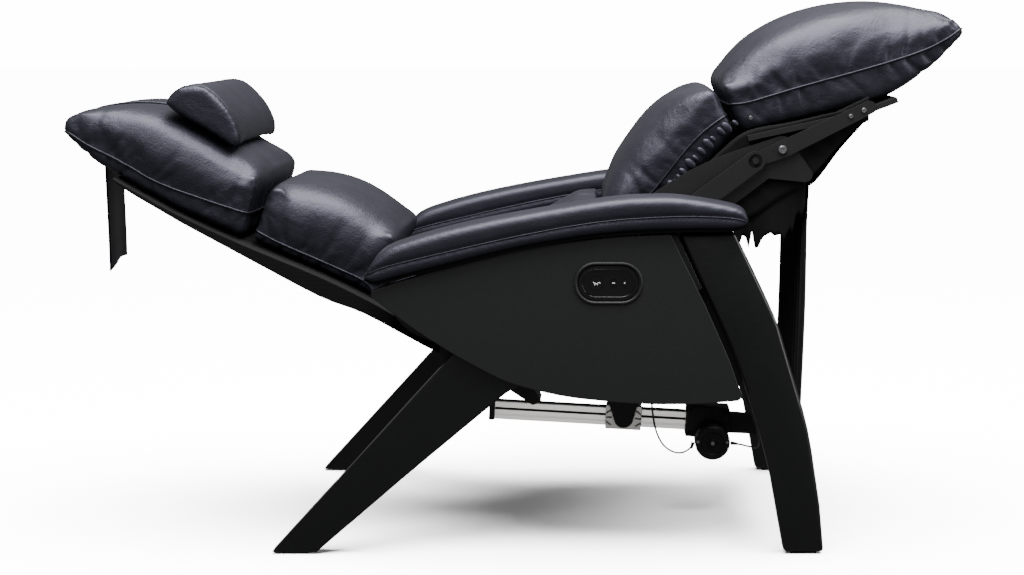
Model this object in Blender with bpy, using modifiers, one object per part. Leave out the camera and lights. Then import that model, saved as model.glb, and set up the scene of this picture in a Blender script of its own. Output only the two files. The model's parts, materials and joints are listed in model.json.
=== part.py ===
"""Powered zero gravity recliner, fully reclined. Metres, +Z up, head end at -X, feet at +X.

The origin is on the floor below the middle of the reclined chair. Side profiles are
drawn as (x, z) outlines for the nominal length and height, and at() fits them to
LENGTH and HEIGHT. Widths, walls, bores and clearances keep their own sizes.
"""

import math

import bmesh
import bpy
from mathutils import Matrix, Vector

# Overall sizes
LENGTH = 1.684
HEIGHT = 1.014
SEAT_WIDTH = 0.512

# Side frames
LEG_THICKNESS = 0.038
PANEL_THICKNESS = 0.018
ARM_WIDTH = 0.100
ARM_OVERHANG = 0.012
GLIDE_HEIGHT = 0.004
GLIDE_RADIUS = 0.014
CHASSIS_THICKNESS = 0.006

# Steel parts, from the cushions outwards
SIDE_ROOM = 0.006
BRACKET_THICKNESS = 0.006
LINK_THICKNESS = 0.006
PLATE_ROOM = 0.003
EYE_WALL = 0.004
BEARER_CLEAR = 0.0013
HUB_ROOM = 0.040
TUBE_RADIUS = 0.0125
APRON_BAR_RADIUS = 0.007
PIVOT_RADIUS = 0.010
KNEE_PIN_RADIUS = 0.007
KNEE_EYE_RADIUS = 0.025
LINK_PIN_RADIUS = 0.006
LINK_EYE_RADIUS = 0.0185
LINK_PLAY = 0.0072
BORE_ROOM = 0.0005

# Actuator
RAIL_WIDTH = 0.030
RAIL_HEIGHT = 0.036
TROLLEY_LENGTH = 0.072
TROLLEY_WALL = 0.005
TROLLEY_ROOM = 0.001
ARM_SIDE_ROOM = 0.003
MOTOR_RADIUS = 0.035
MOTOR_LENGTH = 0.055
HOUSING_WIDTH = 0.056
HOUSING_HEIGHT = 0.063
HOUSING_NEAR = 0.100
HOUSING_FAR = 0.187
RAIL_FAR = 0.572
CAP_LENGTH = 0.012
TAIL_WIDTH = 0.028
TAIL_WALL = 0.0055

# Upholstery and boards
BOARD_THICKNESS = 0.012
CALF_BOARD_THICKNESS = 0.010
PAD_EDGE = 0.026
PILLOW_WIDTH = 0.420
STRAP_WIDTH = 0.140
STRAP_THICKNESS = 0.0025
APRON_THICKNESS = 0.002
APRON_CLEAR = 0.0015
FLAP_LENGTH = 0.230
FLAP_THICKNESS = 0.004

# Control pod
POD_LENGTH = 0.110
POD_HEIGHT = 0.064
POD_RECESS = 0.004
POD_ROOM = 0.001
BEZEL_WALL = 0.006
BEZEL_PROUD = 0.0015
BUTTONS = (("recline", -0.022, 0.0125), ("down", 0.009, 0.0065), ("up", 0.029, 0.0065))
BUTTON_TRAVEL = 0.0015
BUTTON_BORE_DEPTH = 0.007
LEAD_RADIUS = 0.002
LEAD_CLEAR = 0.0005
CONTROL_BOX_SIZE = (0.110, 0.030, 0.070)
INLET_FACE = 0.170
INLET_BOX_WIDTH = 0.070
INLET_RADIUS = 0.0055
INLET_DEPTH = 0.010
INLET_CLEAR = 0.001
INLET_DROP = 0.015

GAP = 0.0003
NOMINAL_LENGTH = 1.684
NOMINAL_HEIGHT = 1.014
NOMINAL_BOX_Y = -0.3107

# Pivots and the pan's ends, as nominal (x, z); the bearers are places along the pan, as nominal x
BASE_PIVOT = (-0.050, 0.420)
KNEE_PIVOT = (0.504, 0.744)
LINK_BASE = (-0.060, 0.340)
LINK_KNEE = (0.454, 0.724)
TAIL_PIVOT = (0.525, 0.170)
DRIVE_PIVOT = (0.213, 0.188)
FLAP_PIVOT = (-0.800, 0.722)
APRON_BAR = (0.548, 0.697)
REAR_BEARER = 0.0424
FRONT_BEARER = 0.3123
PAN_REAR = (-0.100, 0.360)
PAN_FRONT = (0.385, 0.7145)

# Distances out from the middle plane
seat_half = SEAT_WIDTH / 2
bracket_in = seat_half + SIDE_ROOM
bracket_out = bracket_in + BRACKET_THICKNESS
calf_arm_in = bracket_out + PLATE_ROOM
calf_arm_out = calf_arm_in + BRACKET_THICKNESS
link_in = calf_arm_out + PLATE_ROOM
link_out = link_in + LINK_THICKNESS
chassis_in = link_out + HUB_ROOM
leg_in = chassis_in + CHASSIS_THICKNESS + GAP
leg_out = leg_in + LEG_THICKNESS
panel_in = leg_out + GAP
panel_out = panel_in + PANEL_THICKNESS
arm_out = panel_out + ARM_OVERHANG
arm_in = arm_out - ARM_WIDTH
leg_bottom = GLIDE_HEIGHT + GAP
trolley_half = RAIL_WIDTH / 2 + TROLLEY_ROOM + TROLLEY_WALL
drive_arm_in = trolley_half + ARM_SIDE_ROOM

SIDES = (("right", -1), ("left", 1))

for old in list(bpy.data.objects):
    bpy.data.objects.remove(old, do_unlink=True)

parts = bpy.data.collections.new("zero_gravity_recliner")
cutters = bpy.data.collections.new("cutters")
bpy.context.scene.collection.children.link(parts)
bpy.context.scene.collection.children.link(cutters)


# helpers

def at(x, z):
    """Fit a nominal profile point to the chair's length and height."""
    return x * LENGTH / NOMINAL_LENGTH, z * HEIGHT / NOMINAL_HEIGHT


def fit(points):
    return [at(x, z) for x, z in points]


def flow(points, steps=4):
    """Points on one smooth curve through the given ones."""
    ends = [points[0]] + list(points) + [points[-1]]
    smooth = []
    for a, b, c, d in zip(ends, ends[1:], ends[2:], ends[3:]):
        for i in range(steps):
            t = i / steps
            smooth.append(tuple(
                0.5 * (2 * q + (r - p) * t + (2 * p - 5 * q + 4 * r - s) * t ** 2
                       + (3 * q - p - 3 * r + s) * t ** 3)
                for p, q, r, s in zip(a, b, c, d)))
    smooth.append(tuple(points[-1]))
    return smooth


def arc(centre, radius, start, end, steps=6):
    """Points on an arc, angles in degrees from +X towards +Z."""
    angles = [math.radians(start + (end - start) * i / steps) for i in range(steps + 1)]
    return [(centre[0] + radius * math.cos(a), centre[1] + radius * math.sin(a)) for a in angles]


def circle(centre, radius, steps=16):
    return arc(centre, radius, 0, 360, steps)[:-1]


def heading(a, b):
    """Direction from one point to another, in degrees from +X towards +Z."""
    return math.degrees(math.atan2(b[1] - a[1], b[0] - a[0]))


def bar(a, b, radius_a, radius_b):
    """Outline of a flat bar with round ends."""
    along_bar = heading(a, b)
    return (arc(a, radius_a, along_bar + 90, along_bar + 270, 8)
            + arc(b, radius_b, along_bar - 90, along_bar + 90, 8))


def stadium(centre, length, height):
    """Outline of a long round shape, such as the control pod's."""
    reach = (length - height) / 2
    x, z = centre
    return bar((x - reach, z), (x + reach, z), height / 2, height / 2)


def offset(points, distance):
    """Points moved sideways from an open path, to its left."""
    moved = []
    for i, (x, z) in enumerate(points):
        x0, z0 = points[max(i - 1, 0)]
        x1, z1 = points[min(i + 1, len(points) - 1)]
        size = math.hypot(x1 - x0, z1 - z0)
        moved.append((x - distance * (z1 - z0) / size, z + distance * (x1 - x0) / size))
    return moved


def material(name, colour, roughness, metallic=0.0):
    new = bpy.data.materials.new(name)
    new.use_nodes = True
    shader = new.node_tree.nodes["Principled BSDF"]
    shader.inputs["Base Color"].default_value = (*colour, 1.0)
    shader.inputs["Roughness"].default_value = roughness
    shader.inputs["Metallic"].default_value = metallic
    return new


def axis(name, pivot, y=0.0):
    """An empty on a joint's axis, which carries the pieces that move about it."""
    empty = bpy.data.objects.new(name, None)
    x, z = at(*pivot)
    empty.location = (x, y, z)
    parts.objects.link(empty)
    return empty


def add(name, mesh, finish, parent=None, collection=parts):
    """Put a mesh made in the chair's frame into the scene, on its joint's axis."""
    mesh.materials.append(finish)
    new = bpy.data.objects.new(name, mesh)
    collection.objects.link(new)
    if parent:
        new.parent = parent
        mesh.transform(Matrix.Translation(-parent.location))
    return new


def bevel(piece, width, segments=2):
    edge = piece.modifiers.new("Round edges", "BEVEL")
    edge.width = width
    edge.segments = segments
    edge.limit_method = "ANGLE"
    edge.angle_limit = math.radians(50)
    return piece


def plate(name, outline, y0, y1, finish, parent=None, holes=(), edge=0.0, segments=2):
    """A flat outline in the side view, as thick as from y0 to y1."""
    curve = bpy.data.curves.new(name, "CURVE")
    curve.dimensions = "2D"
    curve.fill_mode = "BOTH"
    curve.extrude = abs(y1 - y0) / 2
    for loop in (outline, *holes):
        spline = curve.splines.new("POLY")
        spline.points.add(len(loop) - 1)
        spline.use_cyclic_u = True
        for point, (x, z) in zip(spline.points, loop):
            point.co = (x, z, 0, 1)
    source = bpy.data.objects.new(name + "_outline", curve)
    parts.objects.link(source)
    bpy.context.view_layer.update()
    mesh = bpy.data.meshes.new_from_object(source.evaluated_get(bpy.context.evaluated_depsgraph_get()))
    bpy.data.objects.remove(source)
    mesh.name = name
    bm = bmesh.new()
    bm.from_mesh(mesh)
    bmesh.ops.remove_doubles(bm, verts=bm.verts, dist=0.00001)
    if edge:
        flat = [e for e in bm.edges if len(e.link_faces) == 2
                and all(abs(f.normal.z) > 0.99 for f in e.link_faces)]
        bmesh.ops.dissolve_edges(bm, edges=flat)
    bmesh.ops.rotate(bm, verts=bm.verts, matrix=Matrix.Rotation(math.pi / 2, 3, "X"))
    bmesh.ops.translate(bm, verts=bm.verts, vec=(0, (y0 + y1) / 2, 0))
    bmesh.ops.recalc_face_normals(bm, faces=bm.faces)
    if bm.calc_volume(signed=True) < 0:
        bmesh.ops.reverse_faces(bm, faces=bm.faces)
    bm.to_mesh(mesh)
    bm.free()
    piece = add(name, mesh, finish, parent)
    return bevel(piece, edge, segments) if edge else piece


def rod(name, centre, radius, y0, y1, finish, parent=None, segments=20, edge=0.0):
    """A round bar across the chair."""
    mesh = bpy.data.meshes.new(name)
    bm = bmesh.new()
    turn = Matrix.Translation((centre[0], (y0 + y1) / 2, centre[1])) @ Matrix.Rotation(math.pi / 2, 4, "X")
    bmesh.ops.create_cone(bm, cap_ends=True, segments=segments, radius1=radius, radius2=radius,
                          depth=abs(y1 - y0), matrix=turn)
    bm.to_mesh(mesh)
    bm.free()
    piece = add(name, mesh, finish, parent)
    return bevel(piece, edge, 1) if edge else piece


def block(name, centre, size, finish, parent=None, tilt=0.0, edge=0.0, collection=parts):
    """A box, tilted in the side view about its centre."""
    mesh = bpy.data.meshes.new(name)
    bm = bmesh.new()
    place = Matrix.Translation(centre) @ Matrix.Rotation(tilt, 4, "Y") @ Matrix.Diagonal((*size, 1))
    bmesh.ops.create_cube(bm, size=1, matrix=place)
    bm.to_mesh(mesh)
    bm.free()
    piece = add(name, mesh, finish, parent, collection)
    return bevel(piece, edge) if edge else piece


def cut(piece, cutter):
    """Take a cutter's shape out of a piece."""
    cutter.hide_render = True
    cutter.display_type = "WIRE"
    hole = piece.modifiers.new("Cut", "BOOLEAN")
    hole.operation = "DIFFERENCE"
    hole.solver = "EXACT"
    hole.object = cutter


def lead(name, route, finish, parent=None):
    """A thin free lead along a smooth route."""
    curve = bpy.data.curves.new(name, "CURVE")
    curve.dimensions = "3D"
    curve.bevel_depth = LEAD_RADIUS
    curve.bevel_resolution = 2
    curve.use_fill_caps = True
    points = flow(route, 4)
    spline = curve.splines.new("POLY")
    spline.points.add(len(points) - 1)
    for point, place in zip(spline.points, points):
        point.co = (*place, 1)
    curve.materials.append(finish)
    new = bpy.data.objects.new(name, curve)
    parts.objects.link(new)
    if parent:
        new.parent = parent
        new.location = -parent.location
    return new


# materials

black_wood = material("black_lacquered_wood", (0.006, 0.007, 0.0065), 0.38)
charcoal_panel = material("charcoal_panel", (0.013, 0.0145, 0.014), 0.45)
leather = material("black_leather", (0.012, 0.012, 0.014), 0.42)
black_cloth = material("black_cloth", (0.006, 0.006, 0.007), 0.9)
black_steel = material("black_coated_steel", (0.008, 0.008, 0.009), 0.4, 0.6)
bright_steel = material("zinc_plated_steel", (0.55, 0.55, 0.56), 0.3, 1.0)
aluminium = material("anodised_aluminium", (0.58, 0.57, 0.57), 0.35, 1.0)
black_plastic = material("black_plastic", (0.008, 0.008, 0.009), 0.5)
grey_plastic = material("grey_plastic", (0.35, 0.34, 0.33), 0.55)
lead_rubber = material("lead_sheath", (0.01, 0.01, 0.011), 0.6)

# joint axes

cradle = axis("recline_axis", BASE_PIVOT)
calf = axis("knee_axis", KNEE_PIVOT)
links = axis("calf_link_axis", LINK_BASE)
actuator = axis("actuator_axis", TAIL_PIVOT)
flap_axis = axis("pillow_flap_axis", FLAP_PIVOT)

# side frames

front_leg = (flow(fit([(0.310, 0.597), (0.365, 0.480), (0.414, 0.367), (0.457, 0.236), (0.480, 0.151)]))
             + [(at(0.507, 0)[0], leg_bottom), (at(0.581, 0)[0], leg_bottom)]
             + flow(fit([(0.573, 0.091), (0.549, 0.236), (0.510, 0.368), (0.483, 0.451), (0.412, 0.599)])))
rear_leg = (flow(fit([(-0.441, 0.0053), (-0.294, 0.165), (-0.145, 0.329), (-0.050, 0.428), (0.100, 0.568)]))
            + fit([(0.306, 0.5975), (0.3525, 0.497)])
            + flow(fit([(0.250, 0.440), (0.120, 0.374), (0.011, 0.314), (-0.039, 0.276), (-0.196, 0.145)]))
            + [(at(-0.359, 0)[0], leg_bottom), (at(-0.442, 0)[0], leg_bottom)])
panel_top = flow(fit([(-0.249, 0.4945), (-0.161, 0.524), (-0.070, 0.548), (0.021, 0.570),
                      (0.112, 0.585), (0.203, 0.594), (0.294, 0.598)]))
side_panel = (panel_top
              + flow(fit([(0.358, 0.468), (0.402, 0.368), (0.419, 0.320), (0.427, 0.302), (0.418, 0.292)]))
              + flow(fit([(0.337, 0.286), (0.258, 0.286), (0.181, 0.291), (0.093, 0.302), (0.004, 0.325),
                          (-0.053, 0.352), (-0.114, 0.387), (-0.180, 0.431), (-0.249, 0.484)])))
arm_pad = (flow(fit([(-0.264, 0.518), (-0.247, 0.545), (-0.220, 0.568), (-0.178, 0.584), (-0.095, 0.607),
                     (0.022, 0.631), (0.181, 0.657), (0.256, 0.662), (0.313, 0.661), (0.408, 0.645),
                     (0.434, 0.629), (0.437, 0.617)]), 3)
           + flow(fit([(0.410, 0.6065), (0.293, 0.6045), (0.166, 0.5965), (0.022, 0.573), (-0.104, 0.5425),
                       (-0.159, 0.529), (-0.240, 0.508)]), 3))
chassis = fit([(-0.130, 0.320), (-0.130, 0.440), (-0.020, 0.510), (0.120, 0.560), (0.330, 0.590),
               (0.385, 0.480), (0.440, 0.340), (0.422, 0.306), (0.360, 0.302), (0.020, 0.318)])
pod_centre = at(0.182, 0.509)

for side, sign in SIDES:
    plate(f"front_leg_{side}", front_leg, sign * leg_in, sign * leg_out, black_wood, edge=0.006)
    plate(f"rear_leg_{side}", rear_leg, sign * leg_in, sign * leg_out, black_wood, edge=0.006)
    openings = [stadium(pod_centre, POD_LENGTH, POD_HEIGHT)] if side == "right" else []
    plate(f"side_panel_{side}", side_panel, sign * panel_in, sign * panel_out, charcoal_panel, holes=openings)
    plate(f"arm_pad_{side}", arm_pad, sign * arm_in, sign * arm_out, leather, edge=0.014)
    plate(f"chassis_plate_{side}", chassis, sign * chassis_in, sign * (chassis_in + CHASSIS_THICKNESS),
          black_steel)
    for place, x in (("front", 0.544), ("rear", -0.400)):
        centre = (at(x, 0)[0], sign * (leg_in + LEG_THICKNESS / 2), GLIDE_HEIGHT / 2)
        size = (2 * GLIDE_RADIUS + 0.020, 2 * GLIDE_RADIUS, GLIDE_HEIGHT)
        block(f"floor_glide_{place}_{side}", centre, size, black_plastic)

tube_reach = chassis_in - GAP
rod("front_cross_tube", at(*TAIL_PIVOT), TUBE_RADIUS, -leg_in + GAP, leg_in - GAP, black_steel)
rod("rear_cross_tube", at(*LINK_BASE), TUBE_RADIUS, -tube_reach, tube_reach, black_steel)
for side, sign in SIDES:
    rod(f"base_pivot_pin_{side}", at(*BASE_PIVOT), PIVOT_RADIUS,
        sign * (bracket_in - 0.004), sign * tube_reach, bright_steel)

# cradle: seat and back in one

seat_bracket = (flow(fit([(-0.225, 0.440), (-0.190, 0.402), (-0.120, 0.375), (-0.030, 0.372),
                          (0.080, 0.402), (0.280, 0.545), (0.400, 0.630), (0.480, 0.690)]))
                + arc(at(*APRON_BAR), 0.014, -90, 20, 4)
                + arc(at(*KNEE_PIVOT), KNEE_EYE_RADIUS * HEIGHT / NOMINAL_HEIGHT, 10, 110, 6)
                + flow(fit([(0.400, 0.735), (0.300, 0.685), (0.100, 0.545), (-0.020, 0.470),
                            (-0.120, 0.458), (-0.200, 0.462)])))
pan_top = fit([PAN_REAR, PAN_FRONT])


def under_pan(foot_x):
    """Centre of a bearer whose eye just clears the pan, square below the pan's point at this nominal x."""
    x = at(foot_x, 0)[0]
    slope = math.radians(heading(*pan_top))
    drop = BOARD_THICKNESS + TUBE_RADIUS + EYE_WALL + BEARER_CLEAR
    pan_z = pan_top[0][1] + (x - pan_top[0][0]) * math.tan(slope)
    return x + drop * math.sin(slope), pan_z - drop * math.cos(slope)


rear_bearer = under_pan(REAR_BEARER)
front_bearer = under_pan(FRONT_BEARER)
shell_under = flow(fit([(-0.106, 0.345), (-0.166, 0.374), (-0.276, 0.434), (-0.362, 0.468), (-0.506, 0.545),
                        (-0.616, 0.606), (-0.700, 0.656), (-0.738, 0.6815)]))
shell_over = flow(fit([(-0.743, 0.6905), (-0.700, 0.6655), (-0.621, 0.6215), (-0.506, 0.5675), (-0.361, 0.506),
                       (-0.268, 0.460), (-0.190, 0.414), (-0.106, 0.365)]))
back_shell = shell_under + shell_over
drive_arm = (fit([(0.244, 0.300), (0.244, 0.226)])
             + arc(at(*DRIVE_PIVOT), 0.019, -10, -170, 8)
             + fit([(0.182, 0.226), (0.175, 0.250), (0.044, 0.425)])
             + arc(rear_bearer, TUBE_RADIUS + EYE_WALL, 200, 40, 6))

for side, sign in SIDES:
    bores = [circle(at(*BASE_PIVOT), PIVOT_RADIUS + BORE_ROOM),
             circle(at(*KNEE_PIVOT), KNEE_PIN_RADIUS + GAP)]
    plate(f"seat_bracket_{side}", seat_bracket, sign * bracket_in, sign * bracket_out, black_steel, cradle,
          bores)
    rod(f"knee_pin_{side}", at(*KNEE_PIVOT), KNEE_PIN_RADIUS, sign * (bracket_in - 0.002),
        sign * (calf_arm_out + 0.002), bright_steel, cradle, 16)
    plate(f"drive_arm_{side}", drive_arm, sign * drive_arm_in, sign * (drive_arm_in + BRACKET_THICKNESS),
          black_steel, cradle, [circle(rear_bearer, TUBE_RADIUS + GAP)])
bearer_reach = bracket_in - GAP
rod("seat_bearer_rear", rear_bearer, TUBE_RADIUS, -bearer_reach, bearer_reach, black_steel, cradle)
rod("seat_bearer_front", front_bearer, TUBE_RADIUS, -bearer_reach, bearer_reach, black_steel, cradle)
rod("apron_bar", at(*APRON_BAR), APRON_BAR_RADIUS, -bearer_reach, bearer_reach, black_steel, cradle, 16)
plate("seat_pan", pan_top + offset(pan_top, -BOARD_THICKNESS)[::-1], -bearer_reach, bearer_reach,
      black_wood, cradle)
plate("back_shell", back_shell, -bearer_reach, bearer_reach, black_cloth, cradle)

# cushions

head_pad = (flow(fit([(-0.828, 0.764), (-0.838, 0.785), (-0.825, 0.806), (-0.790, 0.820), (-0.742, 0.826),
                      (-0.668, 0.819), (-0.577, 0.774), (-0.512, 0.733), (-0.458, 0.706)]))
            + flow(fit([(-0.480, 0.640), (-0.503, 0.573)]), 3)
            + flow(fit([(-0.621, 0.6255), (-0.762, 0.7055), (-0.812, 0.748)]), 3))
lumbar_pad = (flow(fit([(-0.474, 0.640), (-0.450, 0.692), (-0.392, 0.705), (-0.318, 0.689), (-0.263, 0.659),
                        (-0.217, 0.622), (-0.200, 0.590), (-0.210, 0.556), (-0.236, 0.512),
                        (-0.250, 0.456)]))
              + flow(fit([(-0.361, 0.510), (-0.497, 0.570)]), 3))
seat_pad = (flow(fit([(-0.243, 0.454), (-0.228, 0.492), (-0.190, 0.510), (-0.110, 0.502), (-0.040, 0.528),
                      (0.060, 0.585), (0.160, 0.640)]))
            + fit([(0.1635, 0.5545), (-0.096, 0.3655), (-0.190, 0.4205)]))
thigh_pad = (flow(fit([(0.167, 0.641), (0.203, 0.706), (0.250, 0.780), (0.305, 0.845), (0.347, 0.868),
                       (0.378, 0.858), (0.398, 0.820), (0.420, 0.775)]))
             + flow(fit([(0.390, 0.732), (0.340, 0.6855), (0.1665, 0.5565)]), 3))
calf_pad = (flow(fit([(0.385, 0.868), (0.402, 0.905), (0.440, 0.940), (0.498, 0.974), (0.590, 1.004),
                      (0.682, 1.0135), (0.774, 1.005), (0.821, 0.987), (0.842, 0.961), (0.826, 0.938)]))
            + flow(fit([(0.793, 0.900), (0.721, 0.847), (0.647, 0.8185), (0.518, 0.7905), (0.428, 0.7705)])))
pillow = (flow(fit([(-0.652, 0.828), (-0.628, 0.851), (-0.587, 0.856), (-0.559, 0.838), (-0.530, 0.803),
                    (-0.514, 0.762), (-0.520, 0.742)]))
          + flow(fit([(-0.580, 0.780), (-0.634, 0.811)]), 3))
for name, outline, parent in (("head_pad", head_pad, cradle), ("lumbar_pad", lumbar_pad, cradle),
                              ("seat_pad", seat_pad, cradle), ("thigh_pad", thigh_pad, cradle),
                              ("calf_pad", calf_pad, calf)):
    plate(name, outline, -seat_half, seat_half, leather, parent, edge=PAD_EDGE, segments=3)
plate("head_pillow", pillow, -PILLOW_WIDTH / 2, PILLOW_WIDTH / 2, leather, cradle, edge=0.012, segments=2)

# The strap follows the head pad's top, round its end and back under it.
strap_path = flow(fit([(-0.662, 0.824), (-0.700, 0.828), (-0.742, 0.8295), (-0.791, 0.8235), (-0.828, 0.8085),
                       (-0.8395, 0.786), (-0.831, 0.762), (-0.815, 0.7425), (-0.804, 0.733)]))
strap = strap_path + offset(strap_path, -STRAP_THICKNESS)[::-1]
flap_top = at(*FLAP_PIVOT)[1]
flap_x = at(*FLAP_PIVOT)[0]
plate("pillow_strap", strap, -STRAP_WIDTH / 2, STRAP_WIDTH / 2, leather, cradle)
block("pillow_flap", (flap_x, 0, flap_top - FLAP_LENGTH / 2), (FLAP_THICKNESS, STRAP_WIDTH, FLAP_LENGTH),
      leather, flap_axis)

# calf rest and its links

arm_end = at(0.665, 0.822)
board_top = fit([(0.440, 0.7695), (0.518, 0.7865), (0.647, 0.8145), (0.715, 0.8405)])
board = board_top + offset(board_top, -CALF_BOARD_THICKNESS)[::-1]
knee = at(*KNEE_PIVOT)
link_knee = at(*LINK_KNEE)
tail_end = heading(link_knee, knee)
foot_end = heading(knee, arm_end)
calf_arm = (arc(link_knee, 0.012, tail_end + 90, tail_end + 270, 8)
            + arc(knee, 0.016, tail_end - 90, foot_end - 90, 2)
            + arc(arm_end, 0.012, foot_end - 90, foot_end + 90, 8)
            + arc(knee, 0.016, foot_end + 90, tail_end + 90, 2))
for side, sign in SIDES:
    bores = [circle(knee, KNEE_PIN_RADIUS + BORE_ROOM), circle(link_knee, LINK_PIN_RADIUS + GAP)]
    plate(f"calf_arm_{side}", calf_arm, sign * calf_arm_in, sign * calf_arm_out, black_steel, calf, bores)
    rod(f"link_pin_{side}", link_knee, LINK_PIN_RADIUS, sign * (calf_arm_in - 0.001),
        sign * (link_out + 0.002), bright_steel, calf, 16)
    # The front eye is wide, for a soft bush that takes up the linkage's play.
    bores = [circle(at(*LINK_BASE), TUBE_RADIUS + BORE_ROOM), circle(link_knee, LINK_PIN_RADIUS + LINK_PLAY)]
    plate(f"calf_link_{side}", bar(at(*LINK_BASE), link_knee, 0.020, LINK_EYE_RADIUS), sign * link_in,
          sign * link_out, black_steel, links, bores)
plate("calf_board", board, -calf_arm_in + GAP, calf_arm_in - GAP, black_wood, calf)

# actuator

tail = Vector(at(*TAIL_PIVOT))
drive = Vector(at(*DRIVE_PIVOT))
rail_tilt = math.atan2(drive.y - tail.y, tail.x - drive.x)
drive_reach = (drive - tail).length


def along(distance, rise=0.0):
    """A point on the actuator's line, this far from its tail pivot."""
    return (tail.x - distance * math.cos(rail_tilt) + rise * math.sin(rail_tilt),
            tail.y + distance * math.sin(rail_tilt) + rise * math.cos(rail_tilt))


def railed(name, near, far, width, height, finish, rise=0.0, edge=0.0, collection=parts):
    x, z = along((near + far) / 2, rise)
    return block(name, (x, 0, z), (far - near, width, height), finish, actuator, rail_tilt, edge, collection)


housing = railed("motor_housing", HOUSING_NEAR, HOUSING_FAR, HOUSING_WIDTH, HOUSING_HEIGHT, black_plastic,
                 0.002, 0.003)
rail = railed("actuator_rail", HOUSING_FAR + GAP, RAIL_FAR, RAIL_WIDTH, RAIL_HEIGHT, aluminium)
cut(rail, railed("rail_slot_top", HOUSING_FAR - 0.02, RAIL_FAR + 0.02, 0.008, 0.016, aluminium,
                 RAIL_HEIGHT / 2 + 0.004, collection=cutters))
railed("rail_end_cap", RAIL_FAR + GAP, RAIL_FAR + CAP_LENGTH, RAIL_WIDTH + 0.004, RAIL_HEIGHT + 0.005,
       black_plastic)
tail_up = along(HOUSING_NEAR - GAP, 0.020)
tail_down = along(HOUSING_NEAR - GAP, -0.020)
tail_heading = -math.degrees(rail_tilt)
clevis = [tail_down] + arc(tail, TUBE_RADIUS + TAIL_WALL, tail_heading - 90, tail_heading + 90, 10) + [tail_up]
plate("actuator_tail", clevis, -TAIL_WIDTH / 2, TAIL_WIDTH / 2, black_steel, actuator,
      [circle(tail, TUBE_RADIUS + BORE_ROOM)])
motor_centre = along(0.134, -0.028)
rod("motor", motor_centre, MOTOR_RADIUS, -HOUSING_WIDTH / 2 - GAP - MOTOR_LENGTH, -HOUSING_WIDTH / 2 - GAP,
    black_plastic, actuator, 28, 0.003)

trolley = railed("trolley", drive_reach - TROLLEY_LENGTH / 2, drive_reach + TROLLEY_LENGTH / 2,
                 2 * trolley_half, RAIL_HEIGHT + 2 * (TROLLEY_ROOM + TROLLEY_WALL), grey_plastic)
cut(trolley, railed("trolley_bore", drive_reach - TROLLEY_LENGTH, drive_reach + TROLLEY_LENGTH,
                    RAIL_WIDTH + 2 * TROLLEY_ROOM, RAIL_HEIGHT + 2 * TROLLEY_ROOM, grey_plastic,
                    collection=cutters))

# electrics

box_x, box_z = at(0.262, 0.372)
box_y = -(chassis_in - GAP - CONTROL_BOX_SIZE[1] / 2)
block("control_box", (box_x, box_y, box_z), CONTROL_BOX_SIZE, black_plastic, edge=0.003)
inlet_top = at(*LINK_BASE)[1] - TUBE_RADIUS - INLET_CLEAR
inlet_box = [(at(x, 0)[0], inlet_top - drop) for x, drop in
             ((-0.080, 0.0), (0.012, 0.0), (0.052, 0.0765), (0.036, 0.0845), (-0.050, 0.0265))]
inlet = plate("power_inlet_box", inlet_box, -INLET_FACE, -INLET_FACE + INLET_BOX_WIDTH, black_plastic)
inlet_centre = (at(-0.020, 0)[0], inlet_top - INLET_DROP)
inlet_bore = rod("power_inlet_bore", inlet_centre, INLET_RADIUS, -INLET_FACE + INLET_DEPTH,
                 -INLET_FACE - 0.01, black_plastic)
parts.objects.unlink(inlet_bore)
cutters.objects.link(inlet_bore)
cut(inlet, inlet_bore)

pod_front = panel_out - POD_RECESS
pod = plate("control_pod", stadium(pod_centre, POD_LENGTH - POD_ROOM, POD_HEIGHT - POD_ROOM), -panel_in, -pod_front,
            black_plastic)
bezel_in = pod_front + GAP
plate("control_bezel", stadium(pod_centre, POD_LENGTH - POD_ROOM, POD_HEIGHT - POD_ROOM), -bezel_in,
      -(panel_out + BEZEL_PROUD), black_plastic,
      holes=[stadium(pod_centre, POD_LENGTH - 2 * BEZEL_WALL, POD_HEIGHT - 2 * BEZEL_WALL)])
for name, shift, radius in BUTTONS:
    centre = (pod_centre[0] + shift, pod_centre[1])
    bottom = pod_front - BUTTON_BORE_DEPTH
    bore = rod(f"button_bore_{name}", centre, radius + BORE_ROOM, -bottom, -(pod_front + 0.01), black_plastic,
               segments=24)
    parts.objects.unlink(bore)
    cutters.objects.link(bore)
    cut(pod, bore)
    seat_y = bottom + BUTTON_TRAVEL + GAP
    rod(f"button_{name}", centre, radius, -seat_y, -(pod_front + 0.0015), black_plastic, segments=24)

# Leads: the motor's own, and the one that goes on towards the pod behind the front leg.
motor_x, motor_z = motor_centre
motor_left = (motor_x - 0.0375, -0.055, motor_z - 0.004)
motor_right = (motor_x + 0.0375, -0.055, motor_z - 0.006)
box_under = (box_x, box_y, box_z - CONTROL_BOX_SIZE[2] / 2 - LEAD_CLEAR)
box_front = (box_x + CONTROL_BOX_SIZE[0] / 2 + LEAD_CLEAR, box_y, box_z)


def led(points):
    """Route points fitted to the chair's length and height, and to how far out the control box is."""
    return [(at(x, z)[0], y * box_y / NOMINAL_BOX_Y, at(x, z)[1]) for x, y, z in points]


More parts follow.
